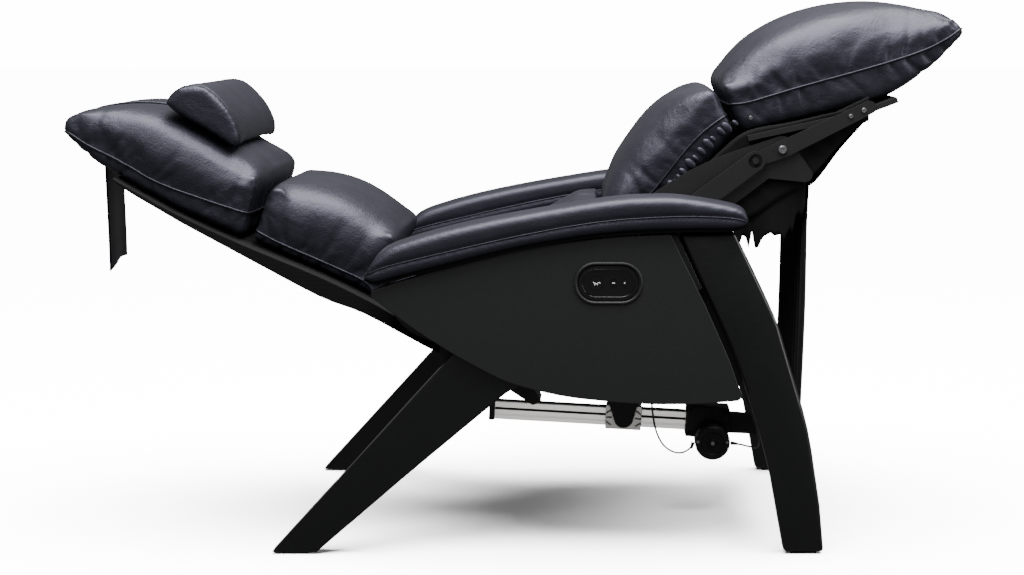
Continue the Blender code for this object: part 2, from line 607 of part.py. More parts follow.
lead("motor_lead", [motor_left, *led([(0.347, -0.058, 0.135), (0.331, -0.066, 0.127), (0.312, -0.080, 0.131),
                                      (0.291, -0.102, 0.150), (0.276, -0.140, 0.185), (0.268, -0.185, 0.228),
                                      (0.264, -0.240, 0.268), (0.262, -0.285, 0.293)]),
                    (box_x, box_y, box_under[2] - 0.0215), box_under], lead_rubber)
lead("pod_lead", [motor_right, *led([(0.446, -0.060, 0.142), (0.462, -0.100, 0.146), (0.472, -0.160, 0.158),
                                     (0.470, -0.225, 0.190), (0.450, -0.270, 0.250), (0.405, -0.300, 0.320),
                                     (0.365, -0.310, 0.362)]),
                  (box_front[0] + 0.0175, box_y, box_z), box_front], lead_rubber)

# The cloth apron hangs from the bar under the knees to the front cross tube.
apron_x = APRON_BAR[0] + 0.0085
apron_foot = at(*TAIL_PIVOT)[0] + TUBE_RADIUS + TAIL_WALL + APRON_CLEAR
apron_path = fit([(apron_x, APRON_BAR[1] + 0.003), (0.550, 0.500)])
apron_path += [(apron_foot, at(0, 0.290)[1]), (apron_foot, at(0, 0.168)[1])]
apron = apron_path + offset(apron_path, APRON_THICKNESS)[::-1]
plate("front_apron", apron, -bearer_reach + 0.008, bearer_reach - 0.008, black_cloth)

for piece in parts.objects:
    if piece.type == "MESH":
        piece.data.shade_smooth()
        piece.data.set_sharp_from_angle(angle=math.radians(35))
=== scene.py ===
import json
import math
import bmesh
import bpy
import numpy as np
from mathutils import Matrix, Vector
from mathutils.bvhtree import BVHTree
from mathutils.kdtree import KDTree


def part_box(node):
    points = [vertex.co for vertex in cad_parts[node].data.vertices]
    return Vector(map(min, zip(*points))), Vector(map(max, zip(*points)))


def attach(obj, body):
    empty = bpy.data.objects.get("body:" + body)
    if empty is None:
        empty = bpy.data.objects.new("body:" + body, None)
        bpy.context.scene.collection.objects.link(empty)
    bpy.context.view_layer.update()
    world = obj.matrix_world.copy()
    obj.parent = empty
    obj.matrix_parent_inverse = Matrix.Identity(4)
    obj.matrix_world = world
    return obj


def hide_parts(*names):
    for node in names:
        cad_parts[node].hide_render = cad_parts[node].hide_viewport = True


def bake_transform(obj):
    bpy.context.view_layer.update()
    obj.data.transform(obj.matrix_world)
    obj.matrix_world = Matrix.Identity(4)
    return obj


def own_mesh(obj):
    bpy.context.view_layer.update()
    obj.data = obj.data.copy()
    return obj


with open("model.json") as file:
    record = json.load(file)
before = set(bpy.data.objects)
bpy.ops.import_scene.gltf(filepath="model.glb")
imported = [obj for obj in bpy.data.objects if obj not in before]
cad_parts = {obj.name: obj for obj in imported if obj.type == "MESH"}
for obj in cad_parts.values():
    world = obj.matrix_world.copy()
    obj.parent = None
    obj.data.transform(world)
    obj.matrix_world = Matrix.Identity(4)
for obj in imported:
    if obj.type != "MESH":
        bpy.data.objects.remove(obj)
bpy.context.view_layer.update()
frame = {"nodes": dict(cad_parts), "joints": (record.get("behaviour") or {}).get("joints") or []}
print("frame loaded")

scene = bpy.context.scene
sides = {"right": -1, "left": 1}  # the sitter's right is at -Y, nearest the camera

cameraSet = {"lens": 70.31, "place": (0.1737, -3.981, 0.975), "pitch": 82.49, "shift": -0.0898}
camera = bpy.data.objects.new("camera", bpy.data.cameras.new("camera"))
scene.collection.objects.link(camera)
camera.data.lens = cameraSet["lens"]
camera.data.sensor_width = 36
camera.data.shift_x = cameraSet["shift"]
camera.location = cameraSet["place"]
camera.rotation_euler = (math.radians(cameraSet["pitch"]), 0, 0)
scene.camera = camera


def toLinear(colour):
    parts = [int(colour[i:i + 2], 16) / 255 for i in (1, 3, 5)]
    return tuple(p / 12.92 if p <= 0.04045 else ((p + 0.055) / 1.055) ** 2.4 for p in parts) + (1.0,)


def addNode(tree, kind, inputs=None, **settings):
    node = tree.nodes.new("ShaderNode" + kind)
    for name, value in settings.items():
        setattr(node, name, value)
    for name, value in (inputs or {}).items():
        if isinstance(value, bpy.types.NodeSocket):
            tree.links.new(value, node.inputs[name])
        else:
            node.inputs[name].default_value = value
    return node


def newMaterial(name, fixed):
    material = bpy.data.materials.new(name)
    material.use_nodes = True
    tree = material.node_tree
    shader = tree.nodes["Principled BSDF"]
    for key, value in fixed.items():
        shader.inputs[key].default_value = value
    return material, tree, shader


def finishMaterial(tree, shader, factor, shades, roughness, height=None, depth=0.0, coarse=None, swell=0.0):
    # Two shades and two roughnesses follow one pattern; fine and coarse heights become bump.
    mix = addNode(tree, "Mix", {"Factor": factor, 6: toLinear(shades[0]), 7: toLinear(shades[1])},
                  data_type="RGBA")
    tree.links.new(mix.outputs[2], shader.inputs["Base Color"])
    rough = addNode(tree, "MapRange", {"Value": factor, "To Min": roughness[0], "To Max": roughness[1]})
    tree.links.new(rough.outputs[0], shader.inputs["Roughness"])
    bump = None
    for pattern, distance in ((coarse, swell), (height, depth)):
        if pattern is not None:
            inputs = {"Height": pattern, "Distance": distance, "Strength": 1.0}
            if bump:
                inputs["Normal"] = bump.outputs[0]
            bump = addNode(tree, "Bump", inputs)
    if bump:
        tree.links.new(bump.outputs[0], shader.inputs["Normal"])


def makeLeather(name, grain, shades, roughness, crease):
    # Coated leather, embossed: a broad soft gloss broken up by a pebble grain and fine creases.
    material, tree, shader = newMaterial(name, {"IOR": 1.5, "Specular Tint": toLinear("#d8d8f2"),
                                                "Coat Weight": 0.08, "Coat Roughness": 0.32})
    place = addNode(tree, "TexCoord").outputs["Object"]
    broad = addNode(tree, "TexNoise", {"Vector": place, "Scale": 14.0, "Detail": 4.0, "Roughness": 0.6})
    pebble = addNode(tree, "TexVoronoi", {"Vector": place, "Scale": 1000 / grain, "Randomness": 0.9},
                     feature="SMOOTH_F1")
    folds = addNode(tree, "TexNoise", {"Vector": place, "Scale": 38.0, "Detail": 5.0, "Distortion": 0.9})
    finishMaterial(tree, shader, broad.outputs["Fac"], shades, roughness, pebble.outputs["Distance"],
                   -0.00035, folds.outputs["Fac"], crease)
    return material


def makeSmooth(name, fixed, shades, roughness, spacing, depth, stretch=(1, 1, 1), turn=(0, 0, 0)):
    # A hard finish: spacing is the distance between its marks in millimetres, stretched along their grain.
    material, tree, shader = newMaterial(name, fixed)
    place = addNode(tree, "TexCoord").outputs["Object"]
    turned = addNode(tree, "Mapping", {"Vector": place, "Rotation": turn, "Scale": stretch})
    fine = addNode(tree, "TexNoise", {"Vector": turned.outputs[0], "Scale": 1000 / spacing, "Detail": 3.0})
    finishMaterial(tree, shader, fine.outputs["Fac"], shades, roughness, fine.outputs["Fac"], depth)
    return material


def makeCloth(name, thread, shades):
    # Woven polyester, plain weave: a dull black broken by two crossed waves of threads.
    material, tree, shader = newMaterial(name, {"Sheen Weight": 0.04, "Sheen Roughness": 0.5, "IOR": 1.45,
                                                "Specular IOR Level": 0.2})
    place = addNode(tree, "TexCoord").outputs["Object"]
    waves = [addNode(tree, "TexWave", {"Vector": place, "Scale": 314 / thread, "Distortion": 0.6},
                     bands_direction=axis).outputs["Fac"] for axis in ("Y", "Z")]
    weave = addNode(tree, "Math", {0: waves[0], 1: waves[1]}, operation="MULTIPLY")
    finishMaterial(tree, shader, weave.outputs[0], shades, (0.75, 0.95), weave.outputs[0], 0.0002)
    return material


leather = makeLeather("coatedLeatherPebbled", 2.6, ("#131317", "#1f1f26"), (0.42, 0.52), 0.0016)
tightLeather = makeLeather("coatedLeatherTight", 2.6, ("#121216", "#1d1d24"), (0.42, 0.52), 0.0006)
pipingLeather = makeLeather("coatedLeatherPiping", 1.8, ("#0b0b0d", "#141418"), (0.38, 0.48), 0.0002)
# Satin lacquer sprayed on bent beech ply: smooth, with a faint long grain under it.
lacqueredPly = makeSmooth("satinLacqueredPly", {"Coat Weight": 0.25, "Coat Roughness": 0.2, "IOR": 1.5},
                          ("#070808", "#0c0d0d"), (0.30, 0.38), 5.0, 0.0001, (0.18, 1, 1), (0, 0.7, 0))
# Charcoal laminate on a side board: an even dull surface with a fine printed fleck.
laminate = makeSmooth("charcoalLaminate", {"IOR": 1.48}, ("#141615", "#1a1c1b"), (0.44, 0.54), 3.0, 0.00008)
cloth = makeCloth("wovenPolyesterCover", 2.5, ("#060607", "#0c0c0e"))
# Powder-coated steel: black, with a faint orange-peel skin in its dull gloss.
coatedSteel = makeSmooth("powderCoatedSteel", {"IOR": 1.5, "Specular IOR Level": 0.28},
                         ("#040405", "#070708"), (0.46, 0.56), 2.2, 0.00012)
# Zinc-plated steel fastenings: bright and slightly blotched.
zinc = makeSmooth("zincPlatedSteel", {"Metallic": 1.0}, ("#a9a9ad", "#cfcfd2"), (0.22, 0.36), 4.0, 0.00003)
# Aluminium extrusion, brushed along its length and anodised: long fine lines in a soft metallic sheen.
aluminium = makeSmooth("brushedAnodisedAluminium", {"Metallic": 0.35, "Anisotropic": 0.4},
                       ("#d6d3d0", "#f0eeeb"), (0.38, 0.48), 1.6, 0.00006, (0.02, 1, 1), (0, 0.0576, 0))
# Moulded ABS housings: a spark-eroded matt texture.
mouldedAbs = makeSmooth("mouldedAbs", {"IOR": 1.53}, ("#09090a", "#111112"), (0.42, 0.56), 1.4, 0.0001)
# Polished ABS of the control pod and its buttons: glossy, nearly smooth.
glossAbs = makeSmooth("polishedAbs", {"IOR": 1.53, "Coat Weight": 0.4, "Coat Roughness": 0.06},
                      ("#060607", "#0b0b0c"), (0.14, 0.2), 9.0, 0.00001)
# Glass-filled nylon slider: grey, dull, with a faint flow pattern.
nylon = makeSmooth("glassFilledNylon", {"IOR": 1.53}, ("#8f8d8a", "#b3b1ad"), (0.5, 0.62), 6.0, 0.0001)
# Extruded PVC sheath: smooth and slightly waxy.
sheath = makeSmooth("extrudedPvcSheath", {"IOR": 1.52}, ("#0b0b0c", "#131314"), (0.42, 0.52), 8.0, 0.00004)
# Pad-printed white ink on the buttons.
whiteInk = makeSmooth("padPrintedInk", {"IOR": 1.5}, ("#e4e6e8", "#f6f7f8"), (0.4, 0.5), 3.0, 0.00001)
print("materials made")


def smoothLine(points, steps=4):
    # Catmull-Rom points through the given ones, in two or three dimensions.
    ends = [points[0]] + list(points) + [points[-1]]
    line = []
    for a, b, c, d in zip(ends, ends[1:], ends[2:], ends[3:]):
        for i in range(steps):
            t = i / steps
            line.append(tuple(0.5 * (2 * q + (r - p) * t + (2 * p - 5 * q + 4 * r - s) * t ** 2
                                     + (3 * q - p - 3 * r + s) * t ** 3) for p, q, r, s in zip(a, b, c, d)))
    line.append(tuple(points[-1]))
    return line


def spaced(points, step, closed=False):
    # The same line with its points one step apart.
    line = np.array(list(points) + ([points[0]] if closed else []), float)
    runs = np.concatenate([[0], np.cumsum(np.linalg.norm(np.diff(line, axis=0), axis=1))])
    count = max(4, round(runs[-1] / step))
    stops = np.linspace(0, runs[-1], count + 1)
    stops = stops[:-1] if closed else stops
    return np.stack([np.interp(stops, runs, line[:, k]) for k in range(line.shape[1])], axis=1)


def addObject(name, data, material):
    data.materials.clear()
    data.materials.append(material)
    piece = bpy.data.objects.new(name, data)
    scene.collection.objects.link(piece)
    return piece


def fromBmesh(name, bm, material, smooth=True, outwards=True):
    if outwards:
        bmesh.ops.recalc_face_normals(bm, faces=bm.faces)
    data = bpy.data.meshes.new(name)
    bm.to_mesh(data)
    bm.free()
    piece = addObject(name, data, material)
    if smooth:
        data.shade_smooth()
    return piece


def bakeModifiers(piece):
    bpy.context.view_layer.update()
    made = bpy.data.meshes.new_from_object(piece.evaluated_get(bpy.context.evaluated_depsgraph_get()))
    piece.modifiers.clear()
    piece.data = made
    return piece


def places(piece, kind="co"):
    flat = np.empty(len(piece.data.vertices) * 3)
    piece.data.vertices.foreach_get(kind, flat)
    return flat.reshape(-1, 3)


def ramp(values, start, width):
    # From 0 at the start to 1 a width further on.
    return np.clip((values - start) / width, 0, 1)


def relax(bm, verts, rounds):
    for _ in range(rounds):
        bmesh.ops.smooth_vert(bm, verts=verts, factor=0.5, use_axis_x=True, use_axis_y=True, use_axis_z=True)


def tube(name, line, radius, material, closed=False, sideCount=2):
    # A round bead along a line, made a mesh.
    curve = bpy.data.curves.new(name, "CURVE")
    curve.dimensions = "3D"
    curve.bevel_depth = radius
    curve.bevel_resolution = sideCount
    curve.use_fill_caps = not closed
    spline = curve.splines.new("POLY")
    spline.points.add(len(line) - 1)
    spline.use_cyclic_u = closed
    for point, place in zip(spline.points, line):
        point.co, point.radius = (*place, 1), 1.0
    source = bpy.data.objects.new(name + "Line", curve)
    scene.collection.objects.link(source)
    bpy.context.view_layer.update()
    data = bpy.data.meshes.new_from_object(source.evaluated_get(bpy.context.evaluated_depsgraph_get()))
    bpy.data.objects.remove(source)
    data.shade_smooth()
    return addObject(name, data, material)


def bevelEdges(piece, width, segments=2, angle=35, harden=False):
    edge = piece.modifiers.new("Round edges", "BEVEL")
    edge.width = width
    edge.segments = segments
    edge.limit_method = "ANGLE"
    edge.angle_limit = math.radians(angle)
    edge.harden_normals = harden
    return piece


def sharpen(piece, angle=35):
    piece.data.shade_smooth()
    piece.data.set_sharp_from_angle(angle=math.radians(angle))
    return piece


# Cords come first: the same route points as the CAD leads, in metres.
cordSet = {
    "diameter": 0.004,
    "motorLead": ("motor_lead", [(0.3521, -0.055, 0.1458), (0.347, -0.058, 0.135), (0.331, -0.066, 0.127),
                                 (0.312, -0.080, 0.131), (0.291, -0.102, 0.150), (0.276, -0.140, 0.185),
                                 (0.268, -0.185, 0.228), (0.264, -0.240, 0.268), (0.262, -0.285, 0.293),
                                 (0.262, -0.3107, 0.315), (0.262, -0.3107, 0.3365)]),
    "podLead": ("pod_lead", [(0.4271, -0.055, 0.1438), (0.446, -0.060, 0.142), (0.462, -0.100, 0.146),
                             (0.472, -0.160, 0.158), (0.470, -0.225, 0.190), (0.450, -0.270, 0.250),
                             (0.405, -0.300, 0.320), (0.365, -0.310, 0.362), (0.335, -0.3107, 0.372),
                             (0.3175, -0.3107, 0.372)]),
    "reliefLength": 0.014,
}


def makeCord(name, node, route):
    line = smoothLine(route, 5)
    cord = tube(name, line, cordSet["diameter"] / 2, sheath, sideCount=3)
    # A tapered relief grips the lead where it leaves the motor.
    start, ahead = Vector(line[0]), (Vector(line[2]) - Vector(line[0])).normalized()
    bm = bmesh.new()
    turn = ahead.to_track_quat("Z", "Y").to_matrix().to_4x4()
    bmesh.ops.create_cone(bm, cap_ends=True, segments=20, radius1=0.0042, radius2=0.0026,
                          depth=cordSet["reliefLength"],
                          matrix=Matrix.Translation(start + ahead * cordSet["reliefLength"] / 2) @ turn)
    rings = [e for e in bm.edges if abs(e.calc_length()) > cordSet["reliefLength"] * 0.9]
    bmesh.ops.subdivide_edges(bm, edges=rings, cuts=6)
    relief = sharpen(fromBmesh(name + "Relief", bm, sheath))
    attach(relief, "actuator")
    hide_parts(node)
    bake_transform(cord)
    return cord


for cordName in ("motorLead", "podLead"):
    makeCord(cordName, *cordSet[cordName])


def cadSection(node):
    # The pad's side outline, cut from its CAD solid at the middle of its width, counter-clockwise in (x, z).
    bm = bmesh.new()
    bm.from_mesh(frame["nodes"][node].data)
    bmesh.ops.remove_doubles(bm, verts=bm.verts, dist=0.00002)
    low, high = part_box(node)
    bmesh.ops.bisect_plane(bm, geom=bm.verts[:] + bm.edges[:] + bm.faces[:],
                           plane_co=(0, (low.y + high.y) / 2 + 0.0007, 0), plane_no=(0, 1, 0),
                           clear_inner=True, clear_outer=True)
    bmesh.ops.remove_doubles(bm, verts=bm.verts, dist=0.00002)
    first = min(bm.verts, key=lambda v: v.co.x)
    here, edge, line = first, first.link_edges[0], []
    while not line or here != first:
        line.append((here.co.x, here.co.z))
        here = edge.other_vert(here)
        edge = next(e for e in here.link_edges if e != edge)
    bm.free()
    line = spaced(line, 0.012, closed=True)
    area = np.sum(line[:, 0] * np.roll(line[:, 1], -1) - np.roll(line[:, 0], -1) * line[:, 1])
    return line if area > 0 else line[::-1]


def outwardOf(loop):
    ahead = np.roll(loop, -1, axis=0) - np.roll(loop, 1, axis=0)
    out = np.stack([ahead[:, 1], -ahead[:, 0]], axis=1)
    return out / np.linalg.norm(out, axis=1)[:, None]


def loftPad(name, pad):
    # The outline is extruded across the pad; its top edges roll over at both sides.
    loop = cadSection(pad["node"])
    low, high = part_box(pad["node"])
    out = outwardOf(loop)
    facing = np.clip(out @ np.array(pad["up"]), -1, 1)
    topness = np.clip(facing * 1.2 + pad["endRoll"], pad["underRoll"], 1)
    insets = pad["inset"] * np.clip(0.25 + 0.75 * facing, 0.0, 1)[:, None]
    along = loop @ np.array([pad["up"][1], -pad["up"][0]])
    upward = loop @ np.array(pad["up"])
    thick = np.array([np.ptp(upward[np.abs(along - a) < 0.022]) for a in along])
    slender = ramp(thick, pad["thin"], 0.10)
    insets *= np.maximum(slender, 0.2)[:, None]
    half, middle = (high.y - low.y) / 2 - pad["inset"], (high.y + low.y) / 2
    stations = [(0.0, 0.0), (0.45, 0.06), (0.72, 0.2), (0.86, 0.36), (0.94, 0.56), (0.98, 0.78), (1.0, 1.0)]
    stations = [(-t, r) for t, r in reversed(stations)] + stations[1:]
    bm = bmesh.new()
    rows = [loop - out * (insets + pad["roll"] * r * (topness * slender)[:, None]) for t, r in stations]
    verts = [bm.verts.new((x, middle + stations[0][0] * half, z)) for x, z in rows[0]]
    edges = [bm.edges.new((a, b)) for a, b in zip(verts, verts[1:] + verts[:1])]
    caps = [edges]
    for (t, r), row in zip(stations[1:], rows[1:]):
        where = {(round(v.co.x, 6), round(v.co.z, 6)): i for i, v in enumerate(verts)}
        made = bmesh.ops.extrude_edge_only(bm, edges=edges)["geom"]
        fresh = [g for g in made if isinstance(g, bmesh.types.BMVert)]
        order = {where[(round(v.co.x, 6), round(v.co.z, 6))]: v for v in fresh}
        verts = [order[i] for i in range(len(verts))]
        for vert, (x, z) in zip(verts, row):
            vert.co = (x, middle + t * half, z)
        edges = [bm.edges.get((a, b)) for a, b in zip(verts, verts[1:] + verts[:1])]
    caps.append(edges)
    for ends in caps:
        bmesh.ops.contextual_create(bm, geom=ends)
    piece = fromBmesh(name, bm, pad["material"])
    voxels = piece.modifiers.new("Even mesh", "REMESH")
    voxels.mode = "VOXEL"
    voxels.voxel_size = pad["voxel"]
    bakeModifiers(piece)
    bm = bmesh.new()
    bm.from_mesh(piece.data)
    relax(bm, bm.verts, 2)
    bm.to_mesh(piece.data)
    bm.free()
    piece.data.materials.clear()
    piece.data.materials.append(pad["material"])
    piece.data.shade_smooth()
    return piece


def seamRing(piece, pad, line):
    # A seam runs along both sides on the given (x, z) line and across both ends, lying on the surface.
    low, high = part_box(pad["node"])
    near = [(x, low.y - 0.01, z) for x, z in smoothLine(line, 4)]
    far = [(x, high.y + 0.01, z) for x, z in smoothLine(line, 4)][::-1]
    ring = spaced(near + far, 0.010, closed=True)
    surface = BVHTree.FromObject(piece, bpy.context.evaluated_depsgraph_get())
    return snap(ring, surface)


def snap(ring, surface, rounds=3):
    for i in range(rounds):
        ring = np.array([surface.find_nearest(Vector(p))[0] for p in ring])
        if i < rounds - 1:
            ring = (np.roll(ring, 1, axis=0) + 2 * ring + np.roll(ring, -1, axis=0)) / 4
    return ring


def endRing(piece, pad, sign):
    # A welt round one end of a bolster, parallel to its end panel.
    low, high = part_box(pad["node"])
    y = (high.y if sign > 0 else low.y) - sign * pad["weltIn"]
    ring = [(x, y, z) for x, z in cadSection(pad["node"])]
    return snap(spaced(ring, 0.008, closed=True),
                BVHTree.FromObject(piece, bpy.context.evaluated_depsgraph_get()))


# A point held more than "pinned" doesn't move, and the rest are only tugged.
clothSet = {"quality": 5, "mass": 0.25, "tension": 18, "shear": 8, "bending": 0.35, "frames": 20,
            "pinned": 0.75, "tugged": 0.3, "under": (0.55, 0.25), "ends": (0.60, 0.20)}


def inflate(piece, pad, rings):
    # Air pressure fills the cover, held at its seams, its ends and its underside.
    start, normals = places(piece), places(piece, "normal")
    seam = np.concatenate(rings)
    gap = np.array([np.min(np.linalg.norm(seam - p, axis=1)) for p in start])
    up = np.array([pad["up"][0], 0, pad["up"][1]])
    along = np.array([up[2], 0, -up[0]])
    under = ramp(-(normals @ up), *clothSet["under"])
    ends = ramp(np.abs(normals @ along), *clothSet["ends"])
    held = np.max([np.exp(-(gap / pad["seamWidth"]) ** 2), under, ends], axis=0)
    if not pad["simulate"]:
        moved = start + normals * (pad["swell"] * (1 - held) ** 0.8)[:, None]
    else:
        group = piece.vertex_groups.new(name="held")
        for i, weight in enumerate(held):
            pinned = 1.0 if weight > clothSet["pinned"] else float(weight) * clothSet["tugged"]
            group.add([i], pinned, "REPLACE")
        modifier = piece.modifiers.new("Cloth", "CLOTH")
        settings = modifier.settings
        settings.quality, settings.mass = clothSet["quality"], clothSet["mass"]
        settings.vertex_group_mass = "held"
        settings.use_pressure = True
        settings.uniform_pressure_force = pad["pressure"]
        settings.shrink_min = -pad["fullness"]
        settings.tension_stiffness = settings.compression_stiffness = clothSet["tension"]
        settings.shear_stiffness, settings.bending_stiffness = clothSet["shear"], clothSet["bending"]
        settings.effector_weights.gravity = 0
        modifier.collision_settings.use_self_collision = False
        modifier.point_cache.frame_start, modifier.point_cache.frame_end = 1, clothSet["frames"]
        for number in range(1, clothSet["frames"] + 1):
            scene.frame_set(number)
        moved = places(piece.evaluated_get(bpy.context.evaluated_depsgraph_get()))
        piece.modifiers.remove(modifier)
        piece.vertex_groups.clear()
        scene.frame_set(1)
    step = moved - start
    size = np.linalg.norm(step, axis=1)[:, None]
    moved = start + step * np.minimum(1, pad["cap"] / np.maximum(size, 1e-9))
    piece.data.vertices.foreach_set("co", moved.ravel())
    bm = bmesh.new()
    bm.from_mesh(piece.data)
    for reach, rounds in pad["calm"]:  # the crown is stretched smooth, further from the seams most of all
        relax(bm, [v for v in bm.verts if gap[v.index] > reach], rounds)
    bm.to_mesh(piece.data)
    bm.free()
    moved = places(piece)
    # Filling never draws the cover in far behind its cut shape.
    short = np.maximum(0, -pad["inward"] - np.sum((moved - start) * normals, axis=1))
    piece.data.vertices.foreach_set("co", (moved + normals * short[:, None]).ravel())
    piece.data.update()
    finer = piece.modifiers.new("Finer", "SUBSURF")
    finer.levels = finer.render_levels = 1
    bakeModifiers(piece)


creaseSet = {"seed": 11, "step": 0.002, "width": 0.0035, "spread": 0.10, "start": 0.005, "deepest": 0.006}


def pucker(piece, pad, rings):
    # Creases run off the seams, where the tight thread draws the leather in.
    rng = np.random.default_rng(creaseSet["seed"])
    where, normals = places(piece), places(piece, "normal")
    depth = np.zeros(len(where))
    for ring in rings:
        dense = spaced(ring, creaseSet["step"], closed=True)
        tree = KDTree(len(dense))
        for i, place in enumerate(dense):
            tree.insert(place, i)
        tree.balance()
        found = [tree.find(place) for place in where]
        gap = np.array([f[2] for f in found])[:, None]
        run = np.array([f[1] for f in found])[:, None] * creaseSet["step"]
        stops = np.cumsum(rng.uniform(*pad["creaseStep"], 250))
        stops = stops[stops < len(dense) * creaseSet["step"]]
        strong, lean = rng.uniform(0.25, 1.0, len(stops)), rng.uniform(-0.7, 0.7, len(stops))
        reach = rng.uniform(*pad["creaseReach"], len(stops))
        aside = run - stops + lean * gap
        width = creaseSet["width"] + creaseSet["spread"] * gap
        fold = np.exp(-(aside / width) ** 2) * np.exp(-(gap / reach) ** 2) * strong
        depth += pad["crease"] * fold.sum(axis=1) * (1 - np.exp(-(gap[:, 0] / creaseSet["start"]) ** 2))
    depth = np.minimum(depth, creaseSet["deepest"])[:, None]
    piece.data.vertices.foreach_set("co", (where - normals * depth).ravel())
    piece.data.update()


def makePad(name, pad):
    piece = loftPad(name, pad)
    rings = [seamRing(piece, pad, line) for line in pad.get("seams", [])]
    rings += [endRing(piece, pad, sign) for sign in pad.get("ends", [])]
    inflate(piece, pad, rings)
    if pad["crease"]:
        pucker(piece, pad, rings[:1])
    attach(piece, pad["body"])
    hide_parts(pad["node"])
    surface = BVHTree.FromObject(piece, bpy.context.evaluated_depsgraph_get())
    for i, ring in enumerate(rings[:pad["piped"]]):
        bead = tube(f"{name}Piping{i + 1}", snap(ring, surface, 4), pad["bead"], pipingLeather, True)
        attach(bead, pad["body"])
    print(name, "made,", len(piece.data.vertices), "points")
    return piece, surface


padBase = {"body": "cradle", "inset": 0.010, "roll": 0.034, "underRoll": 0.12, "voxel": 0.0075, "cap": 0.017,
           "simulate": True, "pressure": 4.0, "fullness": 0.03, "seamWidth": 0.007, "swell": 0.014,
           "calm": [(0.012, 1), (0.03, 3), (0.055, 12)], "thin": 0.06, "endRoll": 0.1, "inward": 0.003,
           "crease": 0.0034, "creaseStep": (0.016, 0.050), "creaseReach": (0.018, 0.075), "bead": 0.0024,
           "piped": 1, "fill": 0.75, "material": leather}
padSets = {
    "headCushion": {"node": "head_pad", "up": (0.49, 0.87), "roll": 0.032, "cap": 0.009, "fullness": 0.02,
                    "seams": [[(-0.834, 0.775), (-0.816, 0.762), (-0.725, 0.718), (-0.670, 0.684),
                               (-0.596, 0.656), (-0.513, 0.628), (-0.488, 0.620)]]},
    "lumbarCushion": {"node": "lumbar_pad", "up": (0.42, 0.91), "roll": 0.044, "cap": 0.005, "fullness": 0.01,
                      "inset": 0.030,
                      "seams": [[(-0.488, 0.590), (-0.431, 0.560), (-0.339, 0.520), (-0.264, 0.486),
                                 (-0.240, 0.480)]]},
    "seatCushion": {"node": "seat_pad", "up": (-0.50, 0.86), "roll": 0.020,
                    "seams": [[(-0.236, 0.476), (-0.150, 0.450), (-0.020, 0.480), (0.100, 0.560),
                               (0.163, 0.606)]]},
    "thighCushion": {"node": "thigh_pad", "up": (-0.66, 0.75), "roll": 0.044, "fullness": 0.02,
                     "seams": [[(0.170, 0.590), (0.225, 0.625), (0.272, 0.672), (0.315, 0.728),
                                (0.361, 0.778), (0.404, 0.806)]]},
    "calfCushion": {"node": "calf_pad", "up": (-0.30, 0.95), "roll": 0.058, "body": "calf_rest",
                    "seams": [[(0.400, 0.822), (0.440, 0.829), (0.536, 0.858), (0.646, 0.888),
                               (0.757, 0.922), (0.826, 0.955), (0.838, 0.966)]]},
    "pillowBolster": {"node": "head_pillow", "up": (0.48, 0.88), "body": "pillow", "roll": 0.004,
                      "underRoll": 1.0, "inset": -0.006, "crease": 0, "endRoll": 0.35, "thin": 0.0,
                      "voxel": 0.006, "cap": 0.012, "ends": (-1, 1), "weltIn": 0.010, "piped": 2,
                      "fill": 0.9, "swell": 0.004, "simulate": False},
}
for side, sign in sides.items():
    padSets[f"{side}ArmCushion"] = {
        "node": f"arm_pad_{side}", "up": (0.0, 1.0), "body": "base", "roll": 0.014, "underRoll": 0.9,
        "inset": -0.001, "voxel": 0.005, "cap": 0.006, "simulate": False, "swell": 0.005, "fill": 1.0,
        "crease": 0, "endRoll": 0.35, "thin": 0.0,
        "seamWidth": 0.004, "bead": 0.0016, "material": tightLeather,
        "seams": [[(-0.258, 0.522), (-0.239, 0.535), (-0.158, 0.556), (0.022, 0.597), (0.166, 0.622),
                   (0.292, 0.631), (0.408, 0.629), (0.434, 0.620)]]}
surfaces = {}
for padName, padSet in padSets.items():
    surfaces[padName] = makePad(padName, {**padBase, **padSet})[1]


def roundedCopy(name, node, width, material, body, segments=3):
    # The CAD piece again, with its edges rounded as the maker's router or brake leaves them.
    bm = bmesh.new()
    bm.from_mesh(frame["nodes"][node].data)
    bmesh.ops.remove_doubles(bm, verts=bm.verts, dist=0.00002)
    bmesh.ops.dissolve_limit(bm, angle_limit=math.radians(1.0), verts=bm.verts, edges=bm.edges)
    piece = sharpen(fromBmesh(name, bm, material, outwards=False), 40)
    bakeModifiers(bevelEdges(piece, width, segments, 50, harden=True))
    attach(piece, body)
    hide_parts(node)
    return piece


def hang(piece, body):
    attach(piece, body)
    return piece


for side in sides:
    roundedCopy(f"{side}SideBoard", f"side_panel_{side}", 0.0030, laminate, "base")
    for end in ("front", "rear"):
        roundedCopy(f"{side}{end.title()}Leg", f"{end}_leg_{side}", 0.0045, lacqueredPly, "base")
        roundedCopy(f"{side}{end.title()}Glide", f"floor_glide_{end}_{side}", 0.0012, mouldedAbs,
                    "base", 2)
roundedCopy("backShellCover", "back_shell", 0.0030, cloth, "cradle")
roundedCopy("motorHousingCase", "motor_housing", 0.0035, mouldedAbs, "actuator")
roundedCopy("railEndPlug", "rail_end_cap", 0.0020, mouldedAbs, "actuator", 2)
roundedCopy("powerInletCase", "power_inlet_box", 0.0020, mouldedAbs, "base", 2)


